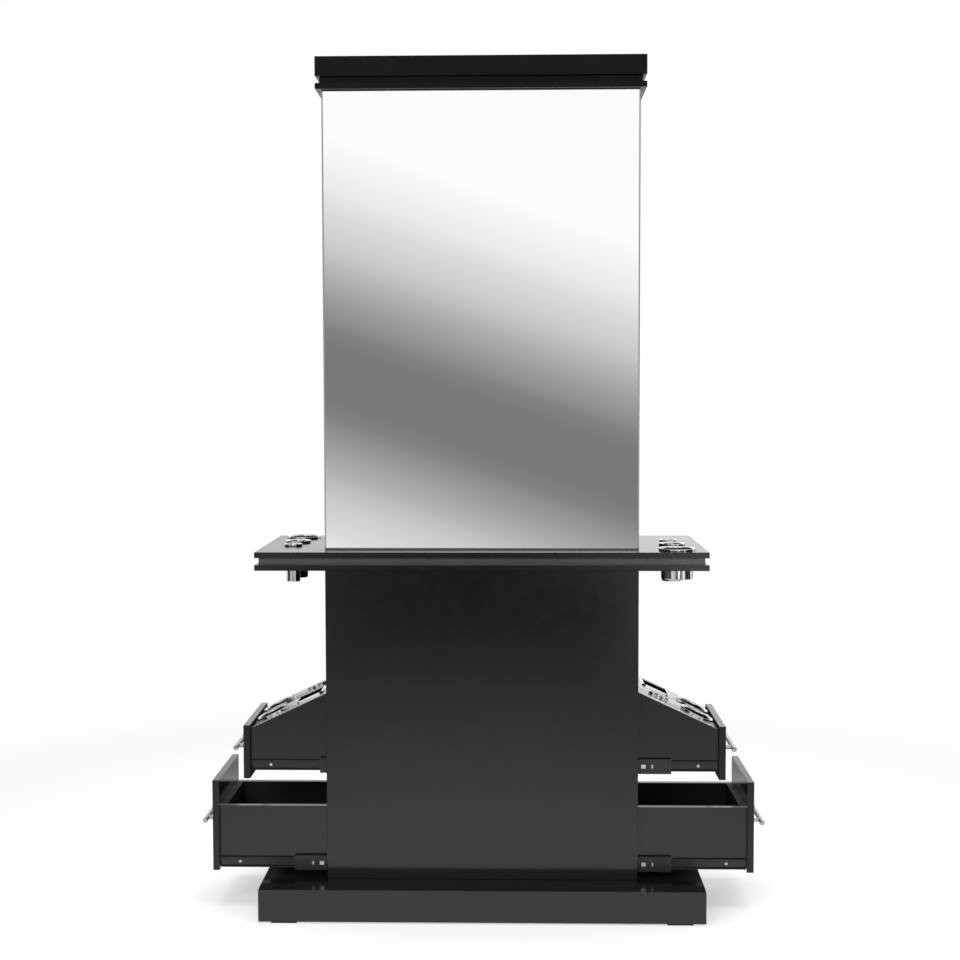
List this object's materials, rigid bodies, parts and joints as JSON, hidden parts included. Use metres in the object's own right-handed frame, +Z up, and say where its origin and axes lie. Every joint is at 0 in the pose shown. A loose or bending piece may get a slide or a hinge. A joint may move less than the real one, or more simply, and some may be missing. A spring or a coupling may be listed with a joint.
{
  "type": "salon station",
  "caption": "Free-standing double sided salon station: a mirror on each face, a counter with ringed tool holders, and drawers that slide out of both ends.",
  "frame": {"origin": "on the floor, under the middle of the plinth", "axes": "+X to the right-hand end where drawers slide out, -Y the front mirror's side, +Z up"},
  "size_m": [1.3532, 0.472, 2.003],
  "materials": {
    "black_laminate": "satin black laminate on board",
    "recess_band": "satin dark grey edge band",
    "drawer_lining": "matt black lining",
    "mirror_glass": "polished, bevelled edges",
    "chrome": "polished",
    "brushed_steel": "brushed",
    "black_runner": "black electrocoat",
    "cage_plastic": "matt",
    "glide_plastic": "matt"
  },
  "bodies": {
    "station": {"base_long_skirts": "black_laminate", "base_end_skirts": "black_laminate", "base_top_board": "black_laminate", "base_cross_rails": "black_laminate", "floor_glides": "glide_plastic", "gable_front": "black_laminate", "gable_back": "black_laminate", "centre_divider": "black_laminate", "cabinet_top_board": "black_laminate", "counter_bottom_slab": "black_laminate", "counter_battens": "recess_band", "counter_top_slab": "black_laminate", "dryer_holders": "chrome", "large_iron_holders": "chrome", "small_iron_holders": "chrome", "tower_sides": "black_laminate", "mirror_backing_front": "black_laminate", "mirror_backing_back": "black_laminate", "tower_cross_boards": "black_laminate", "mirror_front": "mirror_glass", "mirror_back": "mirror_glass", "crown_bottom_slab": "black_laminate", "crown_core": "recess_band", "crown_top_block": "black_laminate", "left_cabinet_runners": "black_runner", "right_cabinet_runners": "black_runner"},
    "left_lower_drawer": {"left_lower_drawer_front": "black_laminate", "left_lower_box_sides": "black_laminate", "left_lower_box_ends": "black_laminate", "left_lower_box_bottom": "drawer_lining", "left_lower_handle": "brushed_steel", "left_lower_drawer_runners": "black_runner"},
    "left_lower_sliders": {"left_lower_runner_sliders": "black_runner", "left_lower_ball_cages": "cage_plastic"},
    "right_lower_drawer": {"right_lower_drawer_front": "black_laminate", "right_lower_box_sides": "black_laminate", "right_lower_box_ends": "black_laminate", "right_lower_box_bottom": "drawer_lining", "right_lower_handle": "brushed_steel", "right_lower_drawer_runners": "black_runner"},
    "right_lower_sliders": {"right_lower_runner_sliders": "black_runner", "right_lower_ball_cages": "cage_plastic"},
    "left_upper_drawer": {"left_upper_drawer_front": "black_laminate", "left_upper_box_sides": "black_laminate", "left_upper_box_ends": "black_laminate", "left_upper_box_bottom": "drawer_lining", "left_upper_handle": "brushed_steel", "left_upper_drawer_runners": "black_runner", "left_upper_tool_plate": "brushed_steel"},
    "left_upper_sliders": {"left_upper_runner_sliders": "black_runner", "left_upper_ball_cages": "cage_plastic"},
    "right_upper_drawer": {"right_upper_drawer_front": "black_laminate", "right_upper_box_sides": "black_laminate", "right_upper_box_ends": "black_laminate", "right_upper_box_bottom": "drawer_lining", "right_upper_handle": "brushed_steel", "right_upper_drawer_runners": "black_runner", "right_upper_tool_plate": "brushed_steel"},
    "right_upper_sliders": {"right_upper_runner_sliders": "black_runner", "right_upper_ball_cages": "cage_plastic"}
  },
  "joints": [
    {"name": "left_lower_drawer_slide", "type": "slide", "parent": "station", "child": "left_lower_drawer", "axis": [-1, 0, 0], "range_m": [-0.2766, 0.0234]},
    {"name": "left_lower_slider_slide", "type": "slide", "parent": "station", "child": "left_lower_sliders", "axis": [-1, 0, 0], "range_m": [-0.09978, 0.00862]},
    {"name": "right_lower_drawer_slide", "type": "slide", "parent": "station", "child": "right_lower_drawer", "axis": [1, 0, 0], "range_m": [-0.2766, 0.0234]},
    {"name": "right_lower_slider_slide", "type": "slide", "parent": "station", "child": "right_lower_sliders", "axis": [1, 0, 0], "range_m": [-0.09978, 0.00862]},
    {"name": "left_upper_drawer_slide", "type": "slide", "parent": "station", "child": "left_upper_drawer", "axis": [-1, 0, 0], "range_m": [-0.2007, 0.0993]},
    {"name": "left_upper_slider_slide", "type": "slide", "parent": "station", "child": "left_upper_sliders", "axis": [-1, 0, 0], "range_m": [-0.03633, 0.01807]},
    {"name": "right_upper_drawer_slide", "type": "slide", "parent": "station", "child": "right_upper_drawer", "axis": [1, 0, 0], "range_m": [-0.2088, 0.0912]},
    {"name": "right_upper_slider_slide", "type": "slide", "parent": "station", "child": "right_upper_sliders", "axis": [1, 0, 0], "range_m": [-0.09834, 0.04306]}
  ],
  "couplings": [
    {"joint": "left_lower_slider_slide", "follows": "left_lower_drawer_slide", "ratio": 0.36},
    {"joint": "right_lower_slider_slide", "follows": "right_lower_drawer_slide", "ratio": 0.36},
    {"joint": "left_upper_slider_slide", "follows": "left_upper_drawer_slide", "ratio": 0.18},
    {"joint": "right_upper_slider_slide", "follows": "right_upper_drawer_slide", "ratio": 0.47}
  ]
}
